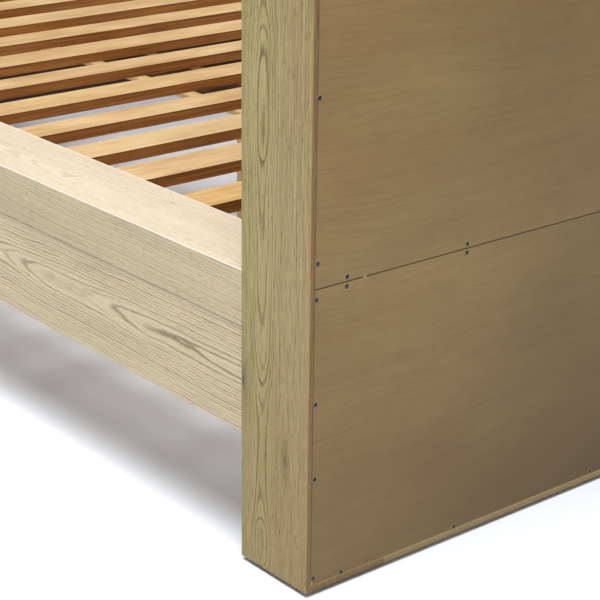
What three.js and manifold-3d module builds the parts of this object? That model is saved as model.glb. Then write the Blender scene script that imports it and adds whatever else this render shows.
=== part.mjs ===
// Four poster canopy bed in oak, king size. Millimetres, +Z up.
// Origin: centre of the bed's footprint, on the floor. +Y points to the headboard, +X to the right
// hand of someone standing at the foot and looking at the headboard.
import * as THREE from 'three';
import { mergeVertices } from 'three/addons/utils/BufferGeometryUtils.js';
import Module from 'manifold-3d';

const wasm = await Module();
wasm.setup();

// Driving dimensions
const BED_WIDTH = 2203;
const BED_LENGTH = 2311;
const BED_HEIGHT = 2108;
const POST = 127;
const REVEAL = 3.5; // how far every rail stands back from the faces of the posts
const RAIL_THICKNESS = 120;
const GAP = 0.3; // clearance left between pieces that touch
const FLOOR_CLEARANCE = 6.5;

const RAIL_BOTTOM = 175;
const RAIL_JOINT = 314; // glue line between the rail's two laminations
const RAIL_TOP = 386;

const HEADBOARD_HEIGHT = 1320;
const CAP_HEIGHT = 40;
const FACE_PANEL = 19;
const BACK_PANEL = 6;
const BACK_PANEL_INSET = 1.2;
const BACK_SEAM = 397.5;
const BACK_SEAM_GAP = 0.8;
const SIDE_LIP = 6.5; // width of the post left beside the back panel
const BACK_PANEL_EDGE_GAP = 1; // open joint between that lip and the panel
const BOTTOM_LIP = 6.5; // height of the lip under the back panel
const FRAME_RAIL_HEIGHT = 70;
const FOOT_PANEL_BOTTOM = 30;

const SLAT_COUNT = 13;
const SLAT_WIDTH = 70;
const SLAT_THICKNESS = 18;
const SLAT_TOP = 326;
const SLAT_PITCH = 152.4;
const FIRST_SLAT_EDGE = 952.5; // headboard side of the first slat
const SLAT_END_GAP = 1;
// Slats that aren't cut or laid quite like the others, by number from the headboard
const ODD_SLATS = {
  4: { shift: -8, width: 80 },
  5: { shift: -4, width: 73 },
  6: { shift: -5, width: 67 },
  7: { shift: -4, width: 73 },
  8: { shift: -6, width: 66 },
  9: { shift: -2, width: 80 },
  10: { shift: -2, width: 73 },
  11: { shift: 4, width: 80 },
  12: { shift: 0, width: 78 },
  13: { shift: 0, width: 76 },
};
const LEDGER_THICKNESS = 25;
const LEDGER_HEIGHT = 40;

const BEAM_X = 331; // the two support beams lie near the thirds of the width
const WEB_THICKNESS = 25;
const WEB_HEIGHT = 42;
const FLANGE_WIDTH = 80;
const FLANGE_THICKNESS = 8;
const HANGER_STEEL = 3;
const HANGER_DEPTH = 40;
const LEG = 40;
const LEG_Y = 62;

const GLIDE_RADIUS = 22;
const FOOT_PAD_RADIUS = 17;
const FOOT_PAD_EDGE = 6;
const FOOT_PAD_HEIGHT = 9;
const STEM_RADIUS = 5;
const STEM_LENGTH = 34;
const INSERT_RADIUS = 8;
const INSERT_LENGTH = 25;
const STEM_POCKET = 42; // depth of the drilling above the leg's lower end
const HOOK_PLATE = { thickness: 5, width: 60, bottom: 200, top: 290 };
const ROUND_SIDES = 32;

// Planes worked out from the driving dimensions
const outerX = BED_WIDTH / 2;
const outerY = BED_LENGTH / 2;
const postInnerX = outerX - POST;
const postInnerY = outerY - POST;
const railOuterX = outerX - REVEAL;
const railInnerX = railOuterX - RAIL_THICKNESS;
const railOuterY = outerY - REVEAL;
const railInnerY = railOuterY - RAIL_THICKNESS;
const slatBottom = SLAT_TOP - SLAT_THICKNESS;
const webTop = slatBottom - GAP;
const webBottom = webTop - WEB_HEIGHT;
const flangeTop = webBottom - GAP;
const flangeBottom = flangeTop - FLANGE_THICKNESS;
const legBottom = FOOT_PAD_HEIGHT + GAP;
const rebateDepth = BACK_PANEL_INSET + BACK_PANEL + GAP;
const backPanelY = outerY - BACK_PANEL_INSET;
const backPanelX = outerX - SIDE_LIP - BACK_PANEL_EDGE_GAP;
const rebateBottom = FLOOR_CLEARANCE + BOTTOM_LIP;
const rebateTop = HEADBOARD_HEIGHT - CAP_HEIGHT;

const material = (color, roughness, metalness = 0) =>
  new THREE.MeshStandardMaterial({ color, roughness, metalness });
const oak = material(0xb3a77f, 0.6);
const railOak = material(0xcabb97, 0.6);
const plywood = material(0x7f6e4e, 0.65);
const slatWood = material(0xe6c692, 0.6);
const innerTimber = material(0xc9b089, 0.75);
const steel = material(0x8d9094, 0.35, 1);
const blackSteel = material(0x2b2d30, 0.45, 1);
const felt = material(0x3a3835, 0.9);

const bed = new THREE.Group();

function addMesh(name, geometry, finish) {
  const mesh = new THREE.Mesh(geometry, finish);
  mesh.name = name;
  bed.add(mesh);
  return mesh;
}

// A squared board between two opposite corners
function boardGeometry(x, y, z) {
  const geometry = new THREE.BoxGeometry(x[1] - x[0], y[1] - y[0], z[1] - z[0]);
  return geometry.translate((x[0] + x[1]) / 2, (y[0] + y[1]) / 2, (z[0] + z[1]) / 2);
}

function addBoard(name, finish, x, y, z) {
  return addMesh(name, boardGeometry(x, y, z), finish);
}

// Orders a span that was mirrored to the other side
function span(a, b) {
  return [Math.min(a, b), Math.max(a, b)];
}

function asSolid(geometry) {
  const bare = geometry.clone();
  bare.deleteAttribute('normal');
  bare.deleteAttribute('uv');
  const merged = mergeVertices(bare);
  return new wasm.Manifold(new wasm.Mesh({
    numProp: 3,
    vertProperties: new Float32Array(merged.attributes.position.array),
    triVerts: new Uint32Array(merged.index.array),
  }));
}

function cutAway(geometry, ...tools) {
  const solid = tools.reduce((left, tool) => left.subtract(asSolid(tool)), asSolid(geometry));
  const { vertProperties, triVerts } = solid.getMesh();
  const result = new THREE.BufferGeometry();
  result.setAttribute('position', new THREE.BufferAttribute(vertProperties, 3));
  result.setIndex(new THREE.BufferAttribute(triVerts, 1));
  result.computeVertexNormals();
  return result;
}

// A turned piece whose profile is a list of [radius, height] points, standing on Z
function turned(profile) {
  const points = profile.map(([radius, height]) => new THREE.Vector2(radius, height));
  return new THREE.LatheGeometry(points, ROUND_SIDES).rotateX(Math.PI / 2);
}

const SIDES = [['left', -1], ['right', 1]];
const ENDS = [['foot', -1], ['head', 1]];

// Square posts. The two at the head are rebated at the back for the plywood panels.
function addPosts() {
  for (const [side, sx] of SIDES) {
    for (const [end, sy] of ENDS) {
      const x = span(sx * postInnerX, sx * outerX);
      const y = span(sy * postInnerY, sy * outerY);
      const post = boardGeometry(x, y, [FLOOR_CLEARANCE, BED_HEIGHT]);
      const rebate = boardGeometry(
        span(sx * (postInnerX - SIDE_LIP), sx * (outerX - SIDE_LIP)),
        [outerY - rebateDepth, outerY + SIDE_LIP],
        [rebateBottom, rebateTop],
      );
      addMesh(`post_${end}_${side}`, end === 'head' ? cutAway(post, rebate) : post, oak);
    }
  }
}

// Felt-faced discs that keep the posts' end grain off the floor
function addGlides() {
  const height = FLOOR_CLEARANCE - GAP;
  for (const [side, sx] of SIDES) {
    for (const [end, sy] of ENDS) {
      const disc = turned([[0, 0], [GLIDE_RADIUS, 0], [GLIDE_RADIUS, height], [0, height]]);
      disc.translate(sx * (outerX - POST / 2), sy * (outerY - POST / 2), 0);
      addMesh(`glide_${end}_${side}`, disc, felt);
    }
  }
}

// Each side rail is two laminations; the lower one is mortised at both ends for hook plates
function addSideRails() {
  const endY = postInnerY - GAP;
  const plate = HOOK_PLATE;
  for (const [side, sx] of SIDES) {
    const x = span(sx * railInnerX, sx * railOuterX);
    const middle = (x[0] + x[1]) / 2;
    const plateX = [middle - plate.width / 2, middle + plate.width / 2];
    addBoard(`side_rail_${side}_upper`, railOak, x, [-endY, endY], [RAIL_JOINT + GAP / 2, RAIL_TOP]);
    const lower = boardGeometry(x, [-endY, endY], [RAIL_BOTTOM, RAIL_JOINT - GAP / 2]);
    const mortises = ENDS.map(([, sy]) => boardGeometry(
      [plateX[0] - GAP, plateX[1] + GAP],
      span(sy * (endY - plate.thickness - GAP), sy * (endY + plate.thickness)),
      [plate.bottom - GAP, plate.top + GAP],
    ));
    addMesh(`side_rail_${side}_lower`, cutAway(lower, ...mortises), railOak);
    for (const [end, sy] of ENDS) {
      const y = span(sy * (endY - plate.thickness), sy * endY);
      addBoard(`hook_plate_${end}_${side}`, steel, plateX, y, [plate.bottom, plate.top]);
    }
  }
}

// Ledgers fixed inside the side rails carry the slat ends
function addLedgers() {
  const top = slatBottom - GAP;
  const inner = railInnerX - GAP;
  const endY = postInnerY - GAP;
  for (const [side, sx] of SIDES) {
    const x = span(sx * (inner - LEDGER_THICKNESS), sx * inner);
    addBoard(`slat_ledger_${side}`, innerTimber, x, [-endY, endY], [top - LEDGER_HEIGHT, top]);
  }
}

function addSlats() {
  const end = railInnerX - SLAT_END_GAP;
  for (let number = 1; number <= SLAT_COUNT; number += 1) {
    const { shift, width } = ODD_SLATS[number] ?? { shift: 0, width: SLAT_WIDTH };
    const edge = FIRST_SLAT_EDGE - (number - 1) * SLAT_PITCH + shift;
    const name = `slat_${String(number).padStart(2, '0')}`;
    addBoard(name, slatWood, [-end, end], [edge - width, edge], [slatBottom, SLAT_TOP]);
  }
}

// Two inverted-T beams run from headboard to footboard in steel hangers, with a leg under each
function addSupportBeams() {
  const webEnd = railInnerY - HANGER_STEEL - 2 * GAP;
  const flangeEnd = railInnerY - HANGER_DEPTH - HANGER_STEEL;
  for (const [side, sx] of SIDES) {
    const x = sx * BEAM_X;
    const web = [x - WEB_THICKNESS / 2, x + WEB_THICKNESS / 2];
    const flange = [x - FLANGE_WIDTH / 2, x + FLANGE_WIDTH / 2];
    addBoard(`beam_web_${side}`, innerTimber, web, [-webEnd, webEnd], [webBottom, webTop]);
    addBoard(`beam_flange_${side}`, innerTimber, flange, [-flangeEnd, flangeEnd], [flangeBottom, flangeTop]);
    for (const [end, sy] of ENDS) addHanger(`beam_hanger_${end}_${side}`, x, sy);
    addSupportLeg(side, x);
  }
}

// A steel shoe: two cheeks, a floor and a back plate that screws to the panel behind it
function addHanger(name, x, sy) {
  const half = WEB_THICKNESS / 2 + GAP;
  const back = railInnerY - GAP;
  const shoe = boardGeometry(
    [x - half - HANGER_STEEL, x + half + HANGER_STEEL],
    span(sy * (back - HANGER_DEPTH), sy * back),
    [webBottom - GAP - HANGER_STEEL, webTop - GAP],
  );
  const pocket = boardGeometry(
    [x - half, x + half],
    span(sy * (back - HANGER_DEPTH - HANGER_STEEL), sy * (back - HANGER_STEEL)),
    [webBottom - GAP, webTop + HANGER_STEEL],
  );
  addMesh(name, cutAway(shoe, pocket), steel);
}

// Leg with a threaded insert and a screw-in levelling foot
function addSupportLeg(side, x) {
  const body = boardGeometry(
    [x - LEG / 2, x + LEG / 2],
    [LEG_Y - LEG / 2, LEG_Y + LEG / 2],
    [legBottom, flangeBottom - GAP],
  );
  const place = (profile) => turned(profile).translate(x, LEG_Y, 0);
  const insertTop = legBottom + INSERT_LENGTH;
  const insertHole = INSERT_RADIUS + GAP;
  const stemHole = STEM_RADIUS + GAP;
  const drilling = place([
    [0, legBottom - GAP], [insertHole, legBottom - GAP], [insertHole, insertTop + GAP],
    [stemHole, insertTop + GAP], [stemHole, legBottom + STEM_POCKET], [0, legBottom + STEM_POCKET],
  ]);
  const insert = place([
    [stemHole, legBottom], [INSERT_RADIUS, legBottom], [INSERT_RADIUS, insertTop],
    [stemHole, insertTop], [stemHole, legBottom],
  ]);
  const foot = place([
    [0, 0], [FOOT_PAD_RADIUS, 0], [FOOT_PAD_RADIUS, FOOT_PAD_EDGE],
    [STEM_RADIUS, FOOT_PAD_HEIGHT], [STEM_RADIUS, FOOT_PAD_HEIGHT + STEM_LENGTH],
    [0, FOOT_PAD_HEIGHT + STEM_LENGTH],
  ]);
  addMesh(`support_leg_${side}`, cutAway(body, drilling), innerTimber);
  addMesh(`leg_insert_${side}`, insert, steel);
  addMesh(`levelling_foot_${side}`, foot, blackSteel);
}

// Oak face and cap in front, frame rails inside, two plywood panels behind
function addHeadboard() {
  const width = [-postInnerX + GAP, postInnerX - GAP];
  const panelTop = rebateTop - GAP;
  const frameY = [railInnerY + FACE_PANEL + GAP, outerY - rebateDepth];
  addBoard('headboard_face', oak, width, [railInnerY, railInnerY + FACE_PANEL], [FLOOR_CLEARANCE, panelTop]);
  addBoard('headboard_cap', oak, width, [railInnerY, outerY], [rebateTop, HEADBOARD_HEIGHT]);

  const bottomRailTop = FLOOR_CLEARANCE + FRAME_RAIL_HEIGHT;
  const bottomRail = boardGeometry(width, [frameY[0], outerY], [FLOOR_CLEARANCE, bottomRailTop]);
  const rebate = boardGeometry(
    [width[0] - GAP, width[1] + GAP],
    [outerY - rebateDepth, outerY + GAP],
    [rebateBottom, bottomRailTop + GAP],
  );
  addMesh('headboard_bottom_rail', cutAway(bottomRail, rebate), oak);
  const seamRail = [BACK_SEAM - FRAME_RAIL_HEIGHT / 2, BACK_SEAM + FRAME_RAIL_HEIGHT / 2];
  addBoard('headboard_seam_rail', innerTimber, width, frameY, seamRail);
  addBoard('headboard_top_rail', innerTimber, width, frameY, [panelTop - FRAME_RAIL_HEIGHT, panelTop]);

  const panelX = [-backPanelX, backPanelX];
  const panelY = [backPanelY - BACK_PANEL, backPanelY];
  const seamHalf = BACK_SEAM_GAP / 2;
  addBoard('back_panel_lower', plywood, panelX, panelY, [rebateBottom + GAP, BACK_SEAM - seamHalf]);
  addBoard('back_panel_upper', plywood, panelX, panelY, [BACK_SEAM + seamHalf, panelTop]);
}

// The footboard is a hollow box as high and as thick as the side rails
function addFootboard() {
  const width = [-postInnerX + GAP, postInnerX - GAP];
  const panelZ = [FOOT_PANEL_BOTTOM, RAIL_TOP - CAP_HEIGHT - GAP];
  const outer = [-railOuterY, -railOuterY + FACE_PANEL];
  const inner = [-railInnerY - FACE_PANEL, -railInnerY];
  const core = [outer[1] + GAP, inner[0] - GAP];
  addBoard('footboard_outer_face', oak, width, outer, panelZ);
  addBoard('footboard_inner_face', oak, width, inner, panelZ);
  addBoard('footboard_cap', oak, width, [-railOuterY, -railInnerY], [RAIL_TOP - CAP_HEIGHT, RAIL_TOP]);
  const railZ = [FOOT_PANEL_BOTTOM, FOOT_PANEL_BOTTOM + FRAME_RAIL_HEIGHT];
  addBoard('footboard_bottom_rail', innerTimber, width, core, railZ);
}

// Four rails join the posts at the top
function addCanopy() {
  const z = [BED_HEIGHT - REVEAL - RAIL_THICKNESS, BED_HEIGHT - REVEAL];
  const endX = postInnerX - GAP;
  const endY = postInnerY - GAP;
  for (const [side, sx] of SIDES) {
    addBoard(`canopy_rail_${side}`, oak, span(sx * railInnerX, sx * railOuterX), [-endY, endY], z);
  }
  for (const [end, sy] of ENDS) {
    addBoard(`canopy_rail_${end}`, oak, [-endX, endX], span(sy * railInnerY, sy * railOuterY), z);
  }
}

addPosts();
addGlides();
addSideRails();
addLedgers();
addSlats();
addSupportBeams();
addHeadboard();
addFootboard();
addCanopy();

export default bed;
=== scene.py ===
import math
import random

import bmesh
import bpy
from mathutils import Matrix, Vector


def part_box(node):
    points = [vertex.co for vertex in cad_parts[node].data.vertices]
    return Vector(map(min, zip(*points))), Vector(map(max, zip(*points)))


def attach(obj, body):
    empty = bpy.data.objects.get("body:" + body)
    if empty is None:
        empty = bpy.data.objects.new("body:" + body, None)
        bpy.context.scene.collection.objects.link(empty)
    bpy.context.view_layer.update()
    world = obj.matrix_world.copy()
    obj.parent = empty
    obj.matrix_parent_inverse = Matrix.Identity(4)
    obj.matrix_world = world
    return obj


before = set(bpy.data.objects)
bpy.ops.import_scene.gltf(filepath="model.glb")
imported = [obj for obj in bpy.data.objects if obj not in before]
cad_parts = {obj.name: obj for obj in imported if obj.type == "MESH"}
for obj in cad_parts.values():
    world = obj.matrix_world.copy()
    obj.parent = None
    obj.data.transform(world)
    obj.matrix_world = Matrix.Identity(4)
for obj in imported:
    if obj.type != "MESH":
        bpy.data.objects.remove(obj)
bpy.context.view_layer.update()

# The looks of an oak four poster bed, built around its CAD frame. Metres, +Z up.
MM = 0.001
RNG = random.Random(7)

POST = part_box("post_head_right")
BACK_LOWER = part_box("back_panel_lower")
BACK_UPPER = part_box("back_panel_upper")


# ---------------------------------------------------------------- camera and light

CAMERA_AZIMUTH = math.radians(140.35)
CAMERA_ELEVATION = math.radians(20.63)
CAMERA_ROLL = math.radians(0.68)
CAMERA_DISTANCE = 2.070
CAMERA_LENS = 108.28
AIM_BELOW_BACK = 0.0175
AIM_HEIGHT = 0.3828


def make_camera():
    """A long lens at the head's right-hand corner, aimed at the outer side of the post."""
    a, e, r = CAMERA_AZIMUTH, CAMERA_ELEVATION, CAMERA_ROLL
    back = Vector((math.sin(a) * math.cos(e), -math.cos(a) * math.cos(e), math.sin(e)))
    right = (-back).cross(Vector((0, 0, 1))).normalized()
    up = right.cross(-back)
    rolled_right = right * math.cos(r) + up * math.sin(r)
    rolled_up = up * math.cos(r) - right * math.sin(r)
    target = Vector((POST[1].x, POST[1].y - AIM_BELOW_BACK, AIM_HEIGHT))
    data = bpy.data.cameras.new("camera")
    data.lens = CAMERA_LENS
    data.clip_end = 60
    camera = bpy.data.objects.new("camera", data)
    turn = Matrix((rolled_right, rolled_up, back)).transposed()
    camera.matrix_world = Matrix.Translation(target + back * CAMERA_DISTANCE) @ turn.to_4x4()
    bpy.context.scene.collection.objects.link(camera)
    bpy.context.scene.camera = camera


WORLD_STRENGTH = 0.33
KEY = {"place": (2.2, 1.9, 5.0), "target": (1.3, 1.5, 0.0), "size": (2.4, 2.4), "power": 280}
FILL = {"place": (0.2, 0.0, 5.5), "target": (0.4, 0.0, 0.0), "size": (3.0, 5.0), "power": 200}


def area_light(name, place, target, size, power):
    """A rectangular softbox of the given watts, aimed at the target."""
    data = bpy.data.lights.new(name, "AREA")
    data.shape = "RECTANGLE"
    data.size, data.size_y = size
    data.energy = power
    light = bpy.data.objects.new(name, data)
    aim = (Vector(target) - Vector(place)).to_track_quat("-Z", "Y")
    light.matrix_world = Matrix.Translation(place) @ aim.to_matrix().to_4x4()
    bpy.context.scene.collection.objects.link(light)


def make_light():
    """A soft white studio: overhead softboxes, the main one above the head's right-hand corner."""
    world = bpy.data.worlds.new("studio")
    world.use_nodes = True
    background = world.node_tree.nodes["Background"]
    background.inputs["Color"].default_value = (1, 1, 1, 1)
    background.inputs["Strength"].default_value = WORLD_STRENGTH
    bpy.context.scene.world = world
    bpy.context.scene.view_settings.view_transform = "Standard"
    area_light("key", **KEY)
    area_light("fill", **FILL)


# ---------------------------------------------------------------- shader building

class Graph:
    """A material under construction, with short calls for the nodes that wood needs."""

    def __init__(self, name):
        self.material = bpy.data.materials.new(name)
        self.material.use_nodes = True
        self.tree = self.material.node_tree
        self.tree.nodes.clear()
        self.output = self.node("ShaderNodeOutputMaterial")
        self.shader = self.node("ShaderNodeBsdfPrincipled")
        self.tree.links.new(self.shader.outputs[0], self.output.inputs[0])

    def node(self, kind, **settings):
        made = self.tree.nodes.new(kind)
        for key, value in settings.items():
            setattr(made, key, value)
        return made

    def put(self, socket, value):
        if isinstance(value, bpy.types.NodeSocket):
            self.tree.links.new(value, socket)
        elif hasattr(value, "__len__") and len(value) == 3 and socket.type == "RGBA":
            socket.default_value = (*value, 1)
        else:
            socket.default_value = value

    def math(self, operation, *values, clamp=False):
        made = self.node("ShaderNodeMath", operation=operation, use_clamp=clamp)
        for socket, value in zip(made.inputs, values):
            self.put(socket, value)
        return made.outputs[0]

    def add(self, a, b):
        return self.math("ADD", a, b)

    def times(self, a, b):
        return self.math("MULTIPLY", a, b)

    def step(self, value, low, high):
        """Smooth 0 to 1 as value goes from low to high."""
        made = self.node("ShaderNodeMapRange", interpolation_type="SMOOTHSTEP")
        self.put(made.inputs["Value"], value)
        self.put(made.inputs["From Min"], low)
        self.put(made.inputs["From Max"], high)
        return made.outputs[0]

    def blob(self, distance, radius):
        """1 at distance 0, falling smoothly to 0 at radius."""
        return self.math("SUBTRACT", 1.0, self.step(distance, 0.0, radius))

    def vector(self, x, y, z):
        made = self.node("ShaderNodeCombineXYZ")
        for socket, value in zip(made.inputs, (x, y, z)):
            self.put(socket, value)
        return made.outputs[0]

    def split(self, vector):
        made = self.node("ShaderNodeSeparateXYZ")
        self.put(made.inputs[0], vector)
        return made.outputs

    def noise(self, vector, detail=2.0, roughness=0.5):
        """Noise about 0, roughly from -0.5 to 0.5, one lump per unit of the vector."""
        made = self.node("ShaderNodeTexNoise")
        self.put(made.inputs["Vector"], vector)
        made.inputs["Scale"].default_value = 1.0
        made.inputs["Detail"].default_value = detail
        made.inputs["Roughness"].default_value = roughness
        return self.math("SUBTRACT", made.outputs["Fac"], 0.5)

    def curve(self, value, points):
        """A smooth curve through points, for a value from 0 to 1."""
        made = self.node("ShaderNodeFloatCurve")
        made.mapping.use_clip = False
        spots = made.mapping.curves[0].points
        spots[0].location = points[0]
        spots[1].location = points[-1]
        for point in points[1:-1]:
            spots.new(*point)
        made.mapping.update()
        self.put(made.inputs["Value"], value)
        return made.outputs[0]

    def mix(self, factor, a, b, blend="MIX"):
        made = self.node("ShaderNodeMix", data_type="RGBA", blend_type=blend)
        self.put(made.inputs[0], factor)
        self.put(made.inputs[6], a)
        self.put(made.inputs[7], b)
        return made.outputs[2]

    def bump(self, height, distance, strength):
        made = self.node("ShaderNodeBump")
        made.inputs["Strength"].default_value = strength
        made.inputs["Distance"].default_value = distance
        self.put(made.inputs["Height"], height)
        return made.outputs[0]


def srgb(r, g, b):
    """A linear colour from 0 to 255 display values."""
    def linear(c):
        c /= 255
        return c / 12.92 if c <= 0.04045 else ((c + 0.055) / 1.055) ** 2.4
    return tuple(linear(c) for c in (r, g, b))


AXES = {"x": 0, "y": 1, "z": 2}


def board_coordinates(g, node, grain, face):
    """Millimetres from the middle of a board: across the show face, along the grain, and in depth."""
    low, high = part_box(node)
    place = g.node("ShaderNodeTexCoord").outputs["Object"]
    centred = g.node("ShaderNodeVectorMath", operation="SUBTRACT")
    g.put(centred.inputs[0], place)
    centred.inputs[1].default_value = (low + high) / 2
    xyz = [g.times(c, 1 / MM) for c in g.split(centred.outputs[0])]
    across = next(a for a in "xyz" if a not in (grain, face))
    half = [v / 2 / MM for v in high - low]
    return xyz[AXES[across]], xyz[AXES[grain]], xyz[AXES[face]], xyz, half


def edge_distance(g, xyz, half):
    """Millimetres from the nearest arris of a squared board, on any of its faces."""
    depths = [g.math("SUBTRACT", h, g.math("ABSOLUTE", c)) for c, h in zip(xyz, half)]
    total = g.add(g.add(depths[0], depths[1]), depths[2])
    most = g.math("MAXIMUM", g.math("MAXIMUM", depths[0], depths[1]), depths[2])
    least = g.math("MINIMUM", g.math("MINIMUM", depths[0], depths[1]), depths[2])
    return g.math("SUBTRACT", g.math("SUBTRACT", total, most), least)


def facing(g, axis, sign):
    """1 on the faces that look along an axis of the bed, 0 on the others."""
    turn = g.node("ShaderNodeVectorTransform", vector_type="NORMAL")
    turn.convert_from = "WORLD"
    turn.convert_to = "OBJECT"
    g.put(turn.inputs[0], g.node("ShaderNodeNewGeometry").outputs["Normal"])
    return g.step(g.times(g.split(turn.outputs[0])[AXES[axis]], sign), 0.55, 0.85)


def near_side(g, xyz, half, axis, sign, width):
    """1 at one outer side of a board, falling to 0 at a width in from it."""
    inward = g.math("SUBTRACT", half[AXES[axis]], g.times(xyz[AXES[axis]], sign))
    return g.blob(inward, width)


def elliptic_distance(g, across, along, centre_across, centre_along, stretch):
    """Distance from a point on the show face, in millimetres, with the grain direction shrunk."""
    du = g.math("SUBTRACT", across, centre_across)
    dv = g.times(g.math("SUBTRACT", along, centre_along), stretch)
    return g.math("SQRT", g.add(g.times(du, du), g.times(dv, dv)))


# ---------------------------------------------------------------- wood

OAK_TINTS = {
    "light": srgb(177, 160, 111), "dark": srgb(118, 88, 47),
    "pore": srgb(88, 64, 33), "arris": srgb(184, 128, 70),
}
KNOT_HEART = srgb(74, 72, 66)
# The rails' near-white arris is partly a pale worn edge and partly a painted highlight.
RAIL_TINTS = {
    "light": srgb(214, 196, 160), "dark": srgb(151, 133, 99),
    "pore": srgb(110, 96, 72), "arris": srgb(255, 254, 252),
}
OAK_DEFAULTS = {
    "seed": 1.0,
    "pith_depth": 40.0,  # how far the pith lies in front of the middle of the board
    "pith_across": 0.0,
    "taper": 0.0,  # how fast the pith leaves the board along the grain
    "wander": 22.0, "wander_length": 420.0, "sway": 12.0, "ripple": 3.0,
    "ring": 2.8,  # width of a year's growth
    "contrast": 1.0, "figure_strength": 0.75,
    "arris_width": 2.6, "arris_strength": 0.3, "arris_sides": (),
    "knots": (), "knot_strength": 0.75,
    "tinted_faces": (), "dark_sides": (),
    "stain_top": 5000.0,  # how far above the board's middle the tinted faces reach
    "low_tint": None,  # (height above the board's middle, fall, tint, amount)
    "cast": None,  # (tint, amount) of a greener cast at one side of the show face
    "stave": 0.0,  # width of the staves that a wide panel is glued up from, or 0 for a single board
}

STAVE_OFFCUT = 1310.0  # how far along the log each stave is cut from the one before


def growth_rings(g, across, along, depth, spec):
    """The distance to the pith of the log, counted in growth rings. The pith wanders along the board."""
    seed = spec["seed"]
    wander = g.noise(g.vector(g.times(along, 1 / spec["wander_length"]), seed, 0.0), 1.0)
    lean = g.math("MULTIPLY_ADD", along, -spec["taper"], spec["pith_depth"])
    pith = g.add(g.times(wander, spec["wander"]), lean)
    if "figure" in spec:
        start, length, depth_range, points = spec["figure"]
        share = g.times(g.math("SUBTRACT", along, start), 1 / length)
        pith = g.add(pith, g.times(g.curve(share, points), -depth_range))
    layer = g.math("MULTIPLY_ADD", depth, 1 / 30, seed)
    ripple = g.noise(g.vector(g.times(across, 1 / 30), g.times(along, 1 / 130), layer), 2.0)
    sway = g.noise(g.vector(g.times(along, 1 / 230), seed + 5.0, 0.0), 2.0)
    u = g.add(g.math("SUBTRACT", across, spec["pith_across"]), g.times(sway, spec["sway"]))
    w = g.math("SUBTRACT", pith, depth)
    for centre_across, centre_along, size in spec["knots"]:
        near = elliptic_distance(g, across, along, centre_across, centre_along, 0.3)
        w = g.add(w, g.times(g.blob(near, size * 4.0), size * 0.9))
    radius = g.math("SQRT", g.add(g.times(u, u), g.times(w, w)))
    return g.times(g.add(radius, g.times(ripple, spec["ripple"])), 1 / spec["ring"])


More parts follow.
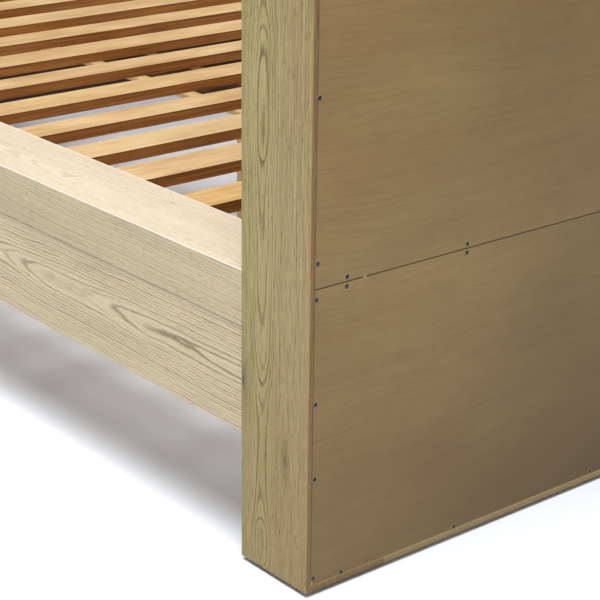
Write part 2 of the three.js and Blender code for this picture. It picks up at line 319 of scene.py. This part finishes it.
def oak(name, node, grain, face, **changes):
    """Brushed oak: growth rings with a porous early band, pores, streaks, knots and worn arrises, on the
    rails so pale they also stand in as a painted highlight.
    """
    spec = {**OAK_DEFAULTS, **OAK_TINTS, **changes}
    g = Graph(name)
    across, along, depth, xyz, half = board_coordinates(g, node, grain, face)
    seed = spec["seed"]
    if spec["stave"]:
        stave_number = g.math("FLOOR", g.times(across, 1 / spec["stave"]))
        across = g.math("PINGPONG", across, spec["stave"])
        across = g.math("SUBTRACT", across, spec["stave"] / 2)
        along = g.add(along, g.times(stave_number, STAVE_OFFCUT))
    rings = growth_rings(g, across, along, depth, spec)
    ring_noise = g.noise(g.vector(g.times(rings, 0.6), seed + 2.0, 0.0), 2.0)
    phase = g.math("FRACT", g.add(rings, g.times(ring_noise, 1.2)))
    early = g.times(g.step(phase, 0.0, 0.16), g.math("SUBTRACT", 1.0, g.step(phase, 0.18, 0.58)))
    early = g.times(early, g.math("MULTIPLY_ADD", ring_noise, 2.6, 0.6, clamp=True))

    across_depth = g.math("MULTIPLY_ADD", depth, 1.0, seed * 37.0)
    fine = g.vector(g.times(across, 1 / 0.8), g.times(along, 1 / 15), g.times(across_depth, 1 / 0.8))
    dashes = g.noise(fine, 3.0, 0.65)
    pores = g.step(g.math("MULTIPLY_ADD", early, 0.16, dashes), 0.06, 0.2)
    thin = g.times(across_depth, 1 / 2.2)
    threads = g.noise(g.vector(g.times(across, 1 / 2.2), g.times(along, 1 / 120), thin), 3.0, 0.62)
    broad = g.times(across_depth, 1 / 70)
    clouds = g.noise(g.vector(g.times(across, 1 / 70), g.times(along, 1 / 380), broad), 2.0)

    contrast = spec["contrast"]
    ring_tone = spec["figure_strength"] * contrast
    tone = g.math("MULTIPLY_ADD", early, ring_tone, g.times(threads, contrast))
    tone = g.math("ADD", g.math("MULTIPLY_ADD", clouds, 0.6, 0.17), tone, clamp=True)
    colour = g.mix(tone, spec["light"], spec["dark"])
    if spec["cast"]:
        tint, amount = spec["cast"]
        width = half[AXES["y"]]
        offset = g.math("MULTIPLY_ADD", clouds, 60.0, g.times(across, -1.0))
        side = g.step(offset, -0.3 * width, 0.9 * width)
        colour = g.mix(g.times(side, amount), colour, tint, "MULTIPLY")
    if spec["low_tint"]:
        height, fall, tint, amount = spec["low_tint"]
        low = g.step(g.times(xyz[AXES["z"]], -1.0), -height, fall - height)
        colour = g.mix(g.times(low, amount), colour, tint)
    for axis, sign, tint, amount in spec["tinted_faces"]:
        below = g.math("LESS_THAN", xyz[AXES["z"]], spec["stain_top"])
        colour = g.mix(g.times(g.times(facing(g, axis, sign), below), amount), colour, tint)
    colour = g.mix(g.times(pores, 0.4 * contrast), colour, spec["pore"])
    for centre_across, centre_along, size in spec["knots"]:
        heart = g.blob(elliptic_distance(g, across, along, centre_across, centre_along, 0.3), size)
        halo = g.blob(elliptic_distance(g, across, along, centre_across, centre_along, 0.25), size * 3.2)
        colour = g.mix(g.times(halo, 0.5 * spec["knot_strength"]), colour, spec["pore"])
        colour = g.mix(g.times(heart, spec["knot_strength"]), colour, KNOT_HEART)
    for axis, sign, tint, width, amount in spec["dark_sides"]:
        colour = g.mix(g.times(near_side(g, xyz, half, axis, sign, width), amount), colour, tint)
    edge = g.blob(edge_distance(g, xyz, half), spec["arris_width"])
    for axis, sign in spec["arris_sides"]:
        edge = g.times(edge, near_side(g, xyz, half, axis, sign, 3 * spec["arris_width"]))
    colour = g.mix(g.times(edge, spec["arris_strength"]), colour, spec["arris"])
    g.put(g.shader.inputs["Base Color"], colour)
    g.put(g.shader.inputs["Roughness"], g.math("MULTIPLY_ADD", pores, 0.16, 0.56))
    g.shader.inputs["Specular IOR Level"].default_value = 0.32
    height = g.math("MULTIPLY_ADD", pores, -1.0, g.times(early, -0.5))
    g.put(g.shader.inputs["Normal"], g.bump(height, 0.00035, 0.55))
    return g.material


PLY_TINTS = {
    "light": srgb(157, 131, 80), "dark": srgb(125, 98, 53), "deep": srgb(97, 75, 40),
    "red": srgb(154, 108, 64), "green": srgb(118, 110, 70),
    "gap_shade": srgb(52, 42, 32), "chip": srgb(196, 176, 140),
}
CHIP_INSET = 77.0  # in from the sheet's end to the chip out of its edge at the seam
CHIP_SIZE = 1.5
CORNER_INSET = 2.6  # in from the sheet's end to the splintered line up its lower corner
CORNER_HEIGHT = 16.0


def plywood(name, node, seed):
    """Stained plywood: a rotary-cut face with fine, wavy, horizontal figure, darker away from the posts."""
    g = Graph(name)
    up, along, depth, xyz, half = board_coordinates(g, node, "x", "y")
    warp = g.noise(g.vector(g.times(along, 1 / 420), g.times(up, 1 / 150), seed), 2.0)
    field = g.math("MULTIPLY_ADD", warp, 5.0, g.times(up, 1 / 14))
    bands = g.noise(g.vector(field, g.times(along, 1 / 500), seed), 4.0, 0.7)
    lines = g.noise(g.vector(g.times(field, 2.2), g.times(along, 1 / 350), seed + 6), 3.0)
    lines = g.math("ABSOLUTE", lines)
    fine = g.noise(g.vector(g.times(along, 1 / 70), g.times(field, 9.0), seed + 3), 3.0, 0.65)
    blotch = g.noise(g.vector(g.times(along, 1 / 240), g.times(up, 1 / 130), seed + 9), 3.0)
    speck = g.noise(g.vector(g.times(along, 1 / 26), g.times(up, 1 / 14), seed + 12), 3.0, 0.6)
    tone = g.math("MULTIPLY_ADD", bands, 0.42, g.times(fine, 0.26))
    tone = g.math("MULTIPLY_ADD", blotch, 0.6, g.math("MULTIPLY_ADD", speck, 0.4, tone))
    tone = g.math("SUBTRACT", g.add(tone, 0.42), g.times(g.blob(lines, 0.04), -0.2), clamp=True)
    colour = g.mix(tone, PLY_TINTS["light"], PLY_TINTS["dark"])
    red = g.times(g.step(blotch, 0.0, 0.3), g.step(bands, -0.1, 0.3))
    colour = g.mix(g.times(red, 0.55), colour, PLY_TINTS["red"])
    cast = g.noise(g.vector(g.times(along, 1 / 420), g.times(up, 1 / 260), seed + 20), 2.0)
    colour = g.mix(g.times(g.step(cast, 0.0, 0.25), 0.2), colour, PLY_TINTS["red"])
    colour = g.mix(g.times(g.step(g.times(cast, -1.0), 0.0, 0.25), 0.45), colour, PLY_TINTS["green"])
    inward = g.math("SUBTRACT", half[AXES["x"]], g.math("ABSOLUTE", along))
    deep = g.times(g.step(inward, -100.0, 650.0), 0.55)
    if node == "back_panel_lower":
        downward = g.step(g.times(up, -1.0), -half[AXES["z"]], half[AXES["z"]])
        deep = g.add(deep, g.times(downward, 0.42))
    deep = g.math("MULTIPLY_ADD", blotch, 0.3, deep, clamp=True)
    colour = g.mix(deep, colour, PLY_TINTS["deep"])
    # Painted shade: dark lines along the sheet's ends at the posts and along the seam.
    for sign in (1, -1):
        colour = g.mix(g.times(near_side(g, xyz, half, "x", sign, 2.0), 0.85), colour, PLY_TINTS["gap_shade"])
    seam_side = 1 if node == "back_panel_lower" else -1
    colour = g.mix(g.times(near_side(g, xyz, half, "z", seam_side, 0.7), 0.7), colour, PLY_TINTS["gap_shade"])
    chip_place = g.math("ABSOLUTE", g.math("SUBTRACT", inward, CHIP_INSET))
    chip = g.times(near_side(g, xyz, half, "z", seam_side, CHIP_SIZE), g.blob(chip_place, CHIP_SIZE * 2))
    colour = g.mix(g.step(chip, 0.15, 0.35), colour, PLY_TINTS["chip"])
    if node == "back_panel_lower":
        line = near_side(g, xyz, half, "z", -1, 2.4)
        off_corner = g.math("ABSOLUTE", g.math("SUBTRACT", inward, CORNER_INSET))
        corner = g.times(near_side(g, xyz, half, "z", -1, CORNER_HEIGHT), g.blob(off_corner, 2.0))
        splintered = g.math("MAXIMUM", g.times(line, 0.6), g.times(corner, 0.9))
        colour = g.mix(splintered, colour, PLY_TINTS["chip"])
    g.put(g.shader.inputs["Base Color"], colour)
    g.put(g.shader.inputs["Roughness"], g.math("MULTIPLY_ADD", fine, 0.2, 0.52))
    g.shader.inputs["Specular IOR Level"].default_value = 0.35
    g.put(g.shader.inputs["Normal"], g.bump(fine, 0.0002, 0.4))
    return g.material


EDGE_SHADE = srgb(60, 30, 12)
SLAT_TINTS = {"light": srgb(206, 178, 134), "dark": srgb(166, 126, 78)}
# Painted shade: slat and timber side faces are coloured darker than their tops, as they sit in shade
# between the slats.
SLAT_SIDE_SHADE_TINTS = {"light": srgb(188, 122, 56), "dark": srgb(100, 54, 20)}
TIMBER_TINTS = {"light": srgb(214, 184, 136), "dark": srgb(182, 146, 98)}
TIMBER_SIDE_SHADE_TINTS = {"light": srgb(104, 66, 40), "dark": srgb(58, 34, 20)}
# Painted shade: the beam webs and the left-hand flange are coloured dark, as they sit in shade under the
# slats.
SHADED_TIMBER_TINTS = {"light": srgb(84, 54, 34), "dark": srgb(52, 32, 20)}
WEB_SHADE_TINTS = {"light": srgb(112, 72, 42), "dark": srgb(78, 48, 28)}


def planed_timber(name, node, grain, face, seed, tints, side_shade_tints=None):
    """Planed timber: soft long grain on the faces, and where side shade tints are given, painted shade on
    the side faces, darkest along their top edge.
    """
    g = Graph(name)
    across, along, depth, xyz, half = board_coordinates(g, node, grain, face)
    wave = g.noise(g.vector(g.times(along, 1 / 260), g.times(across, 1 / 60), seed), 2.0)
    field = g.math("MULTIPLY_ADD", wave, 3.0, g.times(g.math("MULTIPLY_ADD", depth, 0.7, across), 1 / 7))
    bands = g.noise(g.vector(field, g.times(along, 1 / 600), seed), 3.0, 0.6)
    layer = g.math("MULTIPLY_ADD", depth, 1.1, seed)
    fine = g.noise(g.vector(g.times(across, 1 / 0.9), g.times(along, 1 / 26), layer), 3.0, 0.6)
    cloud = g.noise(g.vector(g.times(along, 1 / 130), g.times(across, 1 / 50), seed + 4), 2.0)
    streaks = g.noise(g.vector(g.times(field, 2.6), g.times(along, 1 / 90), seed + 8), 3.0, 0.7)
    tone = g.math("MULTIPLY_ADD", bands, 1.0, g.math("MULTIPLY_ADD", fine, 0.9, g.times(streaks, 1.3)))
    tone = g.math("ADD", g.math("MULTIPLY_ADD", cloud, 1.2, 0.42), tone, clamp=True)
    colour = g.mix(tone, tints["light"], tints["dark"])
    if side_shade_tints:
        depth_place = g.vector(g.times(depth, 1 / 3.2), g.times(along, 1 / 170), seed + 2)
        side_shade_tone = g.math("MULTIPLY_ADD", g.noise(depth_place, 3.0, 0.6), 1.5, g.times(tone, 0.3))
        side_shade_tone = g.math("ADD", side_shade_tone, 0.4, clamp=True)
        side_shade_colour = g.mix(side_shade_tone, side_shade_tints["light"], side_shade_tints["dark"])
        # Painted shade, darker still just under the top of each side face.
        top_line = near_side(g, xyz, half, face, 1, 4.0)
        side_shade_colour = g.mix(g.times(top_line, 0.6), side_shade_colour, EDGE_SHADE)
        flat = g.math("ADD", facing(g, face, 1), facing(g, face, -1), clamp=True)
        colour = g.mix(flat, side_shade_colour, colour)
    g.put(g.shader.inputs["Base Color"], colour)
    g.put(g.shader.inputs["Roughness"], g.math("MULTIPLY_ADD", fine, 0.2, 0.6))
    g.shader.inputs["Specular IOR Level"].default_value = 0.3
    g.put(g.shader.inputs["Normal"], g.bump(g.add(fine, bands), 0.0002, 0.4))
    return g.material


# ---------------------------------------------------------------- metal and felt

def speckle_noise(g, scale, detail):
    scaled = g.node("ShaderNodeVectorMath", operation="SCALE")
    g.put(scaled.inputs[0], g.node("ShaderNodeTexCoord").outputs["Object"])
    scaled.inputs["Scale"].default_value = scale
    return g.noise(scaled.outputs[0], detail, 0.65)


def metal(name, colour, wear, roughness):
    g = Graph(name)
    speckle = speckle_noise(g, 400, 4.0)
    g.put(g.shader.inputs["Base Color"], g.mix(g.step(speckle, -0.1, 0.3), colour, wear))
    g.shader.inputs["Metallic"].default_value = 1.0
    g.put(g.shader.inputs["Roughness"], g.math("MULTIPLY_ADD", speckle, 0.25, roughness))
    g.put(g.shader.inputs["Normal"], g.bump(speckle, 0.0001, 0.3))
    return g.material


def felt(name):
    g = Graph(name)
    fibres = speckle_noise(g, 900, 5.0)
    colour = g.mix(g.step(fibres, -0.2, 0.25), srgb(44, 42, 40), srgb(86, 82, 76))
    g.put(g.shader.inputs["Base Color"], colour)
    g.put(g.shader.inputs["Roughness"], g.math("MULTIPLY_ADD", fibres, 0.1, 0.92))
    g.shader.inputs["Sheen Weight"].default_value = 0.3
    g.put(g.shader.inputs["Normal"], g.bump(fibres, 0.0004, 0.8))
    return g.material


# ---------------------------------------------------------------- dressing the CAD nodes

# How far each kind of piece has its arrises eased
OAK_EASE = 1.2 * MM
RAIL_EASE = 1.0 * MM
JOINT_EASE = 0.5 * MM
SLAT_EASE = 1.5 * MM
TIMBER_EASE = 1.0 * MM
PLYWOOD_EASE = 0.4 * MM
FELT_EASE = 0.6 * MM
STEEL_EASE = 0.5 * MM
HANGER_EASE = 0.4 * MM


def dress(node, material, bevel, segments=3):
    """Gives a CAD node its material and eases its arrises."""
    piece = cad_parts[node]
    piece.data.materials.clear()
    piece.data.materials.append(material)
    if bevel:
        ease = piece.modifiers.new("eased_arrises", "BEVEL")
        ease.width = bevel
        ease.segments = segments
        ease.limit_method = "ANGLE"
        ease.angle_limit = math.radians(40)
        ease.harden_normals = True
        for polygon in piece.data.polygons:
            polygon.use_smooth = True


SIDES = ("left", "right")
ENDS = ("head", "foot")
GREEN_CAST = srgb(243, 255, 236)
LOW_POST = srgb(140, 117, 68)
HEADBOARD_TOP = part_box("headboard_cap")[1].z / MM
BACK_STAIN = srgb(126, 97, 60)
BOTTOM_STAIN = srgb(142, 120, 80)

# The show face of the head's right-hand post, from the floor up: a small oval, arches that open
# upward, and a long oval. Across is measured from the post's middle, towards the back.
POST_FIGURE = {
    "seed": 4.0, "pith_across": -24.0, "pith_depth": 99.0,
    "wander": 2.0, "ring": 1.9, "sway": 6.0, "ripple": 2.6,
    "contrast": 1.4, "figure_strength": 0.56,
    "figure": (-1050.0, 760.0, 13.0, [  # start and length along the board, depth, and points over them
        (0.0, 0.2), (0.05, 0.4), (0.1, 0.14), (0.2, 0.0), (0.29, 0.1), (0.334, 0.28),
        (0.38, 0.42), (0.48, 0.58), (0.66, 0.72), (0.75, 0.97), (0.94, 0.5), (1.0, 0.4),
    ]),
    "knots": ((21.0, -888.0, 3.4), (-60.0, -808.0, 6.0)),
}


def dress_posts():
    number = 0
    for end in ENDS:
        for side in SIDES:
            node = f"post_{end}_{side}"
            outward = 1 if side == "right" else -1
            spec = {
                "seed": 11.0 + 3.7 * number, "pith_across": RNG.uniform(-30, 30),
                "pith_depth": outward * 92.0,
                "cast": (GREEN_CAST, 0.8), "low_tint": (-500.0, 500.0, LOW_POST, 0.5),
            }
            if end == "head":
                low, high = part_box(node)
                middle = (low.z + high.z) / 2 / MM
                spec.update(
                    tinted_faces=(("y", 1, BACK_STAIN, 0.85),), stain_top=HEADBOARD_TOP - middle,
                    arris_sides=(("y", 1), ("x", outward)), arris_width=2.2, arris_strength=0.6,
                )
            if node == "post_head_right":
                spec.update(POST_FIGURE)
            dress(node, oak(f"oak_{node}", node, "z", "x", **spec), OAK_EASE)
            number += 1


# Painted light on the rails: a paler painted sheen on the top face and painted shade on the outer side.
RAIL_TOP_SHEEN = srgb(196, 184, 168)
RAIL_SIDE_SHADE = srgb(170, 152, 118)
# The dark line at the laminations' joint is partly a glue line and partly painted shade in the joint.
GLUE_LINE_AND_SHADE = srgb(96, 80, 52)
JOINT_SHADE = srgb(150, 136, 108)


def dress_rails():
    for number, side in enumerate(("right", "left")):
        outward = 1 if side == "right" else -1
        upper, lower = f"side_rail_{side}_upper", f"side_rail_{side}_lower"
        top_look = {
            "seed": 31.0 + number, "pith_across": 12.0 * outward, "pith_depth": 78.0, "taper": 0.02,
            "contrast": 0.95, "figure_strength": 0.75,
            "arris_sides": (("z", 1),), "arris_width": 1.6, "arris_strength": 0.75,
            "tinted_faces": (("z", 1, RAIL_TOP_SHEEN, 0.6), ("x", outward, RAIL_SIDE_SHADE, 0.25)),
            "dark_sides": (("z", -1, GLUE_LINE_AND_SHADE, 1.0, 0.6),),
            "knots": ((10.0, 560.0, 3.0), (-30.0, 760.0, 2.4)), "knot_strength": 0.3,
        }
        side_look = {
            "seed": 41.0 + number, "pith_across": 8.0, "pith_depth": outward * 106.0,
            "taper": 0.024 * outward, "wander": 20.0, "wander_length": 330.0, "ripple": 6.5, "ring": 3.3,
            "contrast": 1.0, "figure_strength": 0.9,
            "arris_strength": 0.0,
            "dark_sides": (("z", 1, JOINT_SHADE, 10.0, 0.4), ("z", 1, GLUE_LINE_AND_SHADE, 0.8, 0.45)),
        }
        dress(upper, oak(f"oak_{upper}", upper, "y", "z", **{**RAIL_TINTS, **top_look}), RAIL_EASE)
        dress(lower, oak(f"oak_{lower}", lower, "y", "x", **{**RAIL_TINTS, **side_look}), JOINT_EASE)


# Painted shade darkens the footboard's inner face below the slats: height above the board's middle, fall,
# tint, amount
SHADE_BELOW_SLATS = (90.0, 30.0, srgb(48, 31, 22), 0.95)

PANEL_STAVE = 194.8
CANOPY_FIGURE = {"figure_strength": 0.5, "wander": 10.0, "ring": 2.4}


def dress_oak_boards():
    boards = [
        ("headboard_face", "z", "y", {"stave": PANEL_STAVE, "figure_strength": 0.55}),
        ("headboard_cap", "x", "z", {}),
        ("headboard_bottom_rail", "x", "y", {"tinted_faces": (("y", 1, BOTTOM_STAIN, 0.85),)}),
        ("footboard_outer_face", "x", "y", {}),
        ("footboard_inner_face", "x", "y", {"low_tint": SHADE_BELOW_SLATS}),
        ("footboard_cap", "x", "z", {}),
        ("canopy_rail_left", "y", "x", CANOPY_FIGURE), ("canopy_rail_right", "y", "x", CANOPY_FIGURE),
        ("canopy_rail_foot", "x", "y", CANOPY_FIGURE), ("canopy_rail_head", "x", "y", CANOPY_FIGURE),
    ]
    for number, (node, grain, face, extra) in enumerate(boards):
        low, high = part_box(node)
        behind = (high - low)[AXES[face]] / 2 / MM + RNG.uniform(30, 60)
        spec = {"seed": 60.0 + 5.3 * number, "pith_across": RNG.uniform(-25, 25), "pith_depth": behind}
        dress(node, oak(f"oak_{node}", node, grain, face, **spec, **extra), OAK_EASE)


SLAT_COUNT = 13
GOLDEN_SLATS = 3  # slats nearest the headboard that are more golden than the others
GOLD_FADES = (0.0, 0.07, 0.3)  # how much of its red, green and blue a fully golden slat loses


def dress_slats():
    for number in range(1, SLAT_COUNT + 1):
        node = f"slat_{number:02d}"
        golden = 0.9 if number <= GOLDEN_SLATS else RNG.uniform(0.0, 0.4)
        gold = [1 - fade * golden for fade in GOLD_FADES]
        tints = {key: tuple(c * fade for c, fade in zip(tint, gold)) for key, tint in SLAT_TINTS.items()}
        timber = planed_timber(f"timber_{node}", node, "x", "z", number * 7.3, tints, SLAT_SIDE_SHADE_TINTS)
        dress(node, timber, SLAT_EASE)


def dress_inner_timber():
    boards = [(f"slat_ledger_{side}", "y", "x") for side in SIDES]
    boards += [(f"beam_web_{side}", "y", "z") for side in SIDES]
    boards += [(f"beam_flange_{side}", "y", "z") for side in SIDES]
    boards += [(f"support_leg_{side}", "z", "x") for side in SIDES]
    cross_rails = ("headboard_seam_rail", "headboard_top_rail", "footboard_bottom_rail")
    boards += [(node, "x", "y") for node in cross_rails]
    for number, (node, grain, face) in enumerate(boards):
        # The webs and the left-hand flange carry painted shade in their colour.
        sides = TIMBER_SIDE_SHADE_TINTS if node.startswith("beam_web") else None
        tints = TIMBER_TINTS
        if node.startswith("beam_web"):
            tints = WEB_SHADE_TINTS
        elif node == "beam_flange_left":
            tints = SHADED_TIMBER_TINTS
        timber = planed_timber(f"timber_{node}", node, grain, face, 200 + number * 3.1, tints, sides)
        dress(node, timber, TIMBER_EASE)


def dress_plywood():
    for number, node in enumerate(("back_panel_lower", "back_panel_upper")):
        dress(node, plywood(f"plywood_{node}", node, 3.0 + 11 * number), PLYWOOD_EASE, 2)


def dress_hardware():
    for end in ENDS:
        for side in SIDES:
            dress(f"glide_{end}_{side}", FELT, FELT_EASE, 2)
            dress(f"hook_plate_{end}_{side}", ZINC, STEEL_EASE, 2)
            dress(f"beam_hanger_{end}_{side}", ZINC, HANGER_EASE, 2)
    for side in SIDES:
        dress(f"leg_insert_{side}", ZINC, 0)
        dress(f"levelling_foot_{side}", BLACK, STEEL_EASE, 2)


# ---------------------------------------------------------------- screws

SCREW_HEAD = 2.9 * MM
SCREW_DOME = 1.1 * MM
SCREW_SINK = 1.5 * MM
SCREW_RIM = 0.1 * MM
SCREW_SIDES = 24
CROSS_WIDTH = 0.6 * MM
CROSS_LENGTH = 2.6 * MM
CROSS_DEPTH = 1.0 * MM
BURR = 0.5 * MM


def lathe(profile, sides):
    """A closed turned mesh about Z, from a profile of (radius, height) that starts and ends on the axis."""
    bm = bmesh.new()
    rings = []
    for radius, height in profile:
        if radius == 0:
            rings.append([bm.verts.new((0, 0, height))])
            continue
        turn = [2 * math.pi * i / sides for i in range(sides)]
        rings.append([bm.verts.new((radius * math.cos(t), radius * math.sin(t), height)) for t in turn])
    for lower, upper in zip(rings, rings[1:]):
        for i in range(sides):
            j = (i + 1) % sides
            corners = [lower[i % len(lower)], lower[j % len(lower)]]
            corners += [upper[j % len(upper)], upper[i % len(upper)]]
            bm.faces.new(list(dict.fromkeys(corners)))
    bmesh.ops.recalc_face_normals(bm, faces=bm.faces)
    mesh = bpy.data.meshes.new("turned")
    bm.to_mesh(mesh)
    bm.free()
    return mesh


def screw_mesh():
    """A countersunk screw's head, slightly domed, with a cross recess."""
    profile = [(0, -SCREW_SINK), (SCREW_HEAD * 0.45, -SCREW_SINK)]
    profile += [(SCREW_HEAD * 0.97, -SCREW_RIM), (SCREW_HEAD, SCREW_RIM)]
    steps = 4
    for i in range(1, steps + 1):
        angle = math.pi / 2 * i / steps
        rise = SCREW_RIM + (SCREW_DOME - SCREW_RIM) * math.sin(angle)
        profile.append((SCREW_HEAD * math.cos(angle) if i < steps else 0, rise))
    head = bpy.data.objects.new("screw_head", lathe(profile, SCREW_SIDES))
    cutter_bm = bmesh.new()
    for length_axis in (0, 1):
        size = [CROSS_WIDTH, CROSS_WIDTH, 2 * CROSS_DEPTH]
        size[length_axis] = CROSS_LENGTH
        scale = Matrix.Diagonal((*size, 1))
        bmesh.ops.create_cube(cutter_bm, matrix=Matrix.Translation((0, 0, SCREW_DOME)) @ scale)
    cutter_mesh = bpy.data.meshes.new("cross")
    cutter_bm.to_mesh(cutter_mesh)
    cutter_bm.free()
    cutter = bpy.data.objects.new("cross_cutter", cutter_mesh)
    for made in (head, cutter):
        bpy.context.scene.collection.objects.link(made)
    cut = head.modifiers.new("cross", "BOOLEAN")
    cut.object = cutter
    cut.operation = "DIFFERENCE"
    cut.use_self = True
    bpy.context.view_layer.update()
    mesh = bpy.data.meshes.new_from_object(head.evaluated_get(bpy.context.evaluated_depsgraph_get()))
    for made in (head, cutter):
        bpy.data.objects.remove(made)
    return mesh


def burr_mesh():
    """The ring of raised, torn fibres that a driven screw leaves around its head."""
    bm = bmesh.new()
    section = 6
    rings = []
    for i in range(SCREW_SIDES):
        turn = 2 * math.pi * i / SCREW_SIDES
        lift = BURR * RNG.uniform(0.35, 0.9)
        ring = []
        for k in range(section):
            angle = 2 * math.pi * k / section
            radius = SCREW_HEAD + BURR * 0.9 + BURR * math.cos(angle)
            place = (radius * math.cos(turn), radius * math.sin(turn), lift * math.sin(angle))
            ring.append(bm.verts.new(place))
        rings.append(ring)
    for i in range(SCREW_SIDES):
        a, b = rings[i], rings[(i + 1) % SCREW_SIDES]
        for k in range(section):
            m = (k + 1) % section
            bm.faces.new((a[k], b[k], b[m], a[m]))
    bmesh.ops.recalc_face_normals(bm, faces=bm.faces)
    mesh = bpy.data.meshes.new("burr")
    bm.to_mesh(mesh)
    bm.free()
    return mesh


def scatter(name, mesh, places, outward, material):
    """One piece made of a copy of mesh at every place, its Z turned outward, each at its own angle."""
    bm = bmesh.new()
    aim = Vector(outward).to_track_quat("Z", "Y").to_matrix().to_4x4()
    for place in places:
        start = len(bm.verts)
        bm.from_mesh(mesh)
        bm.verts.ensure_lookup_table()
        spin = Matrix.Rotation(RNG.uniform(0, math.pi), 4, "Z")
        bmesh.ops.transform(bm, matrix=Matrix.Translation(place) @ aim @ spin, verts=bm.verts[start:])
    joined = bpy.data.meshes.new(name)
    bm.to_mesh(joined)
    bm.free()
    joined.materials.append(material)
    piece = bpy.data.objects.new(name, joined)
    bpy.context.scene.collection.objects.link(piece)
    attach(piece, "bed_frame")
    return piece


# Where the back's screws sit, in millimetres
BACK_COLUMNS = (57, 250, 510, 800)  # in from the bed's outer side, one more column is in the middle
EDGE_INSET = 11.4  # in from the bed's outer side
EDGE_HEIGHTS = (24, 156, 254, 384, 429, 622, 816, 1010, 1204, 1267)  # up from the floor
SEAM_OFFSET = 5.8  # above and below the seam
ROW_INSET = 4.2  # in from the back's lower and upper edges

SCREW_STRAY = 0.7 * MM  # how far a back screw may sit off its line
SLAT_SCREW_INSET = 13 * MM  # in from the slat's end
SLAT_SCREW_DEPTH = 0.3 * MM  # below the slat's top


def back_screw_places():
    outer, back = POST[1].x, BACK_LOWER[1].y
    seam = (BACK_LOWER[1].z + BACK_UPPER[0].z) / 2
    bottom, top = BACK_LOWER[0].z + ROW_INSET * MM, BACK_UPPER[1].z - ROW_INSET * MM
    rows = (bottom, seam - SEAM_OFFSET * MM, seam + SEAM_OFFSET * MM, top)
    columns = [sign * (outer - inset * MM) for inset in BACK_COLUMNS for sign in (1, -1)] + [0.0]
    places = [Vector((x, back, z)) for x in columns for z in rows]
    edge = outer - EDGE_INSET * MM
    places += [Vector((sign * edge, back, z * MM)) for z in EDGE_HEIGHTS for sign in (1, -1)]
    low, high = -SCREW_STRAY, SCREW_STRAY
    return [p + Vector((RNG.uniform(low, high), 0, RNG.uniform(low, high))) for p in places]


def slat_screw_places():
    places = []
    for number in range(1, SLAT_COUNT + 1):
        low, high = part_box(f"slat_{number:02d}")
        for x in (low.x, high.x):
            inward = -math.copysign(SLAT_SCREW_INSET, x)
            places.append(Vector((x + inward, (low.y + high.y) / 2, high.z - SLAT_SCREW_DEPTH)))
    return places


def make_screws():
    head, burr = screw_mesh(), burr_mesh()
    back = back_screw_places()
    scatter("back_panel_screws", head, back, (0, 1, 0), BROWNED)
    scatter("back_panel_screw_burrs", burr, back, (0, 1, 0), BURR_WOOD)
    scatter("slat_screws", head, slat_screw_places(), (0, 0, 1), ZINC)


def burr_wood(name):
    g = Graph(name)
    fibres = speckle_noise(g, 1500, 3.0)
    colour = g.mix(g.step(fibres, -0.2, 0.2), srgb(172, 148, 108), srgb(132, 108, 74))
    g.put(g.shader.inputs["Base Color"], colour)
    g.shader.inputs["Roughness"].default_value = 0.8
    g.put(g.shader.inputs["Normal"], g.bump(fibres, 0.0002, 0.6))
    return g.material


# ---------------------------------------------------------------- floor

FLOOR_REACH = 14
FLOOR_PAINT = (0.86, 0.905, 1.0, 1)


def make_floor():
    corners = [(x * FLOOR_REACH, y * FLOOR_REACH, 0) for x, y in ((-1, -1), (1, -1), (1, 1), (-1, 1))]
    mesh = bpy.data.meshes.new("floor")
    mesh.from_pydata(corners, [], [(0, 1, 2, 3)])
    floor = bpy.data.objects.new("floor", mesh)
    bpy.context.scene.collection.objects.link(floor)
    g = Graph("floor_paint")
    g.shader.inputs["Base Color"].default_value = FLOOR_PAINT
    g.shader.inputs["Roughness"].default_value = 0.8
    mesh.materials.append(g.material)


ZINC = metal("zinc_plate", srgb(150, 152, 154), srgb(190, 190, 188), 0.34)
BLACK = metal("blackened_steel", srgb(30, 34, 44), srgb(62, 66, 76), 0.42)
BROWNED = metal("browned_steel", srgb(56, 61, 64), srgb(104, 108, 106), 0.38)
FELT = felt("glide_felt")
BURR_WOOD = burr_wood("torn_fibres")

make_camera()
make_light()
make_floor()
dress_posts()
dress_rails()
dress_oak_boards()
dress_slats()
dress_inner_timber()
dress_plywood()
dress_hardware()
make_screws()
